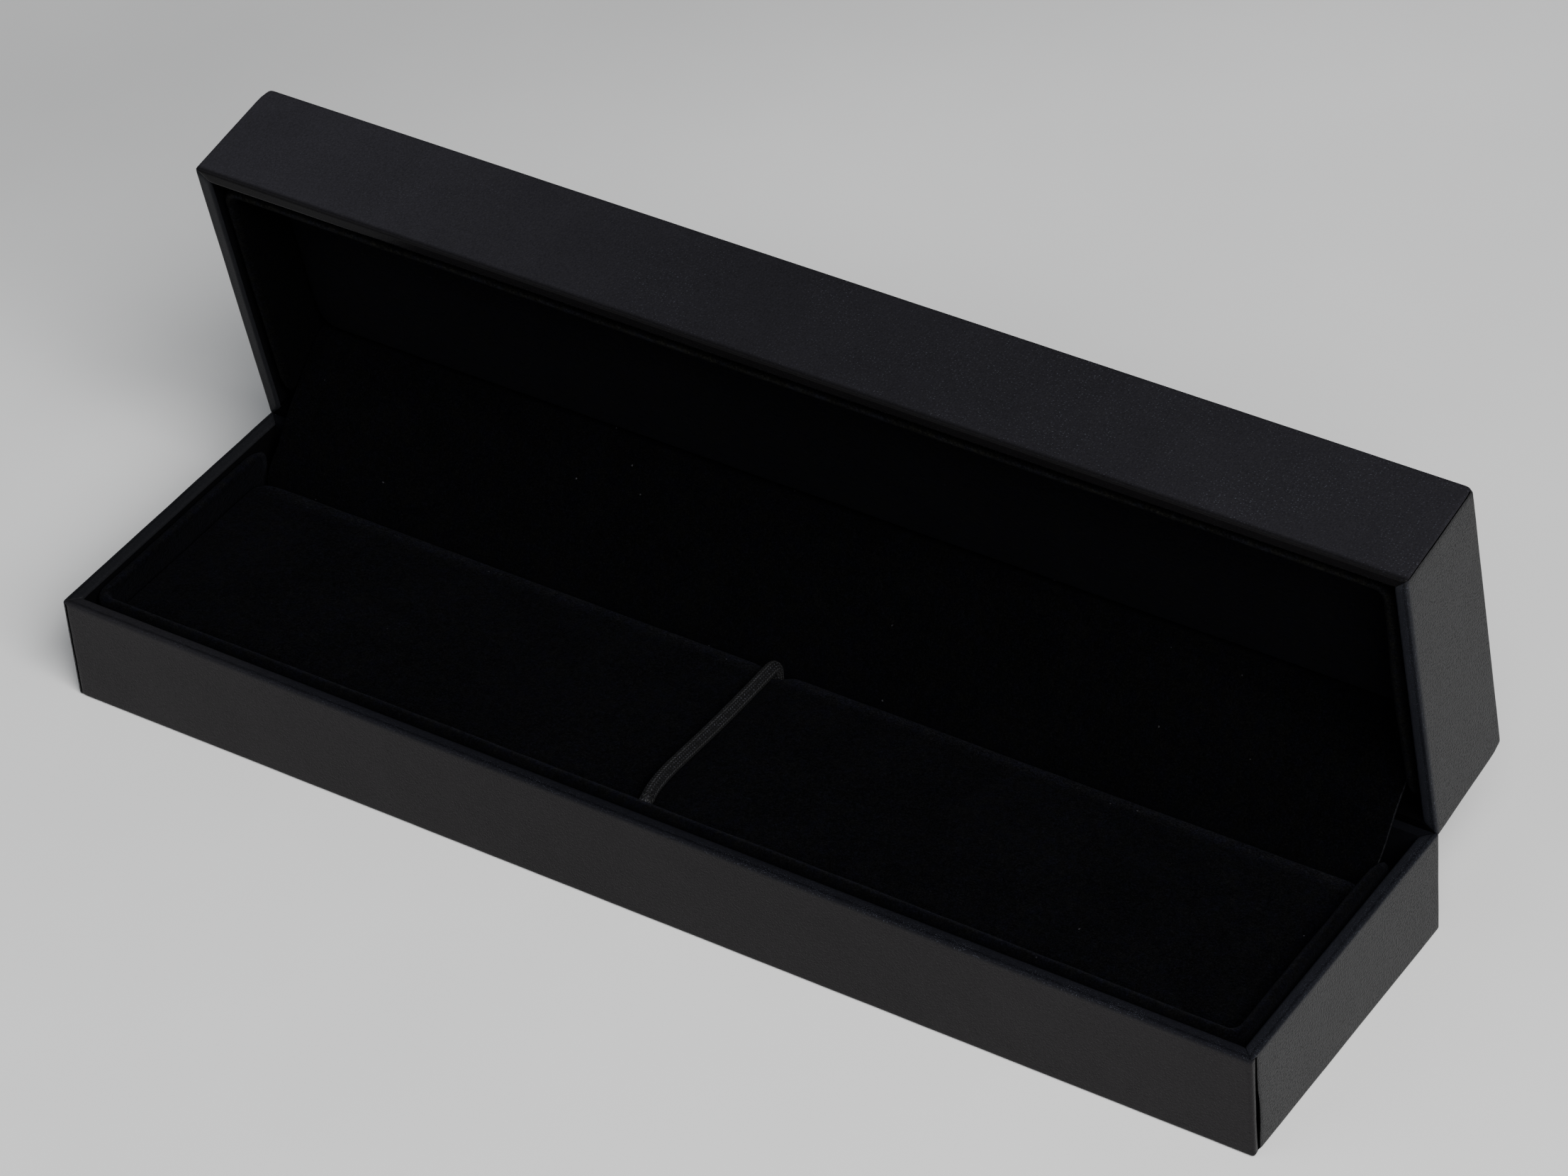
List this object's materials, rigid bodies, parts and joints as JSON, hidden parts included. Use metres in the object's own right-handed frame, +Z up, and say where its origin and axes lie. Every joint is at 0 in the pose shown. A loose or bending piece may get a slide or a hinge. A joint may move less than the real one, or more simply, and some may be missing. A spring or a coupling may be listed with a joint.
{
  "type": "hinged pen case",
  "caption": "Long narrow leatherette-covered presentation case with a hinged lid, velvet liners, a padded bed and an elastic keeper across it.",
  "frame": {"origin": "centre of the base's bottom face", "axes": "+X along the case's length towards its right end, +Y towards the hinge side, +Z up from the bottom face"},
  "size_m": [0.19, 0.0659, 0.0674],
  "materials": {
    "greyboard": "matt pressed grey board, cut edges",
    "leatherette": "dark grey, fine pebble grain, satin",
    "velvet": "short dark pile",
    "foam": "open-cell foam",
    "elastic": "round knitted elastic with pale flecks",
    "hinge_steel": "nickel-plated pressed steel",
    "spring_steel": "tempered strip"
  },
  "bodies": {
    "base": {"base_floor_board": "greyboard", "base_front_board": "greyboard", "base_back_board": "greyboard", "base_left_board": "greyboard", "base_right_board": "greyboard", "base_wrap": "leatherette", "base_back_edging": "leatherette", "base_left_cover": "leatherette", "base_right_cover": "leatherette", "base_liner_card": "greyboard", "base_liner_velvet": "velvet", "pad_risers": "greyboard", "base_pad_card": "greyboard", "base_pad_foam": "foam", "base_pad_velvet": "velvet", "elastic_cord": "elastic", "elastic_crimp": "hinge_steel", "left_hinge_base_leaf": "hinge_steel", "right_hinge_base_leaf": "hinge_steel", "left_hinge_pin": "hinge_steel", "right_hinge_pin": "hinge_steel", "left_hinge_spring": "spring_steel", "right_hinge_spring": "spring_steel", "base_leaf_tacks": "hinge_steel", "hinge_spine": "leatherette", "hinge_flap": "velvet"},
    "lid": {"lid_top_board": "greyboard", "lid_front_board": "greyboard", "lid_back_board": "greyboard", "lid_left_board": "greyboard", "lid_right_board": "greyboard", "lid_wrap": "leatherette", "lid_back_edging": "leatherette", "lid_left_cover": "leatherette", "lid_right_cover": "leatherette", "lid_liner_card": "greyboard", "lid_liner_velvet": "velvet", "lid_pad_card": "greyboard", "lid_pad_foam": "foam", "lid_pad_velvet": "velvet", "left_hinge_lid_leaf": "hinge_steel", "right_hinge_lid_leaf": "hinge_steel", "lid_leaf_tacks": "hinge_steel"}
  },
  "joints": [
    {"name": "lid_hinge", "type": "hinge", "parent": "base", "child": "lid", "pos_m": [0, 0.02375, 0.0171], "axis": [1, 0, 0], "range_deg": [0, 81], "deforming": ["hinge_spine", "hinge_flap"]}
  ]
}
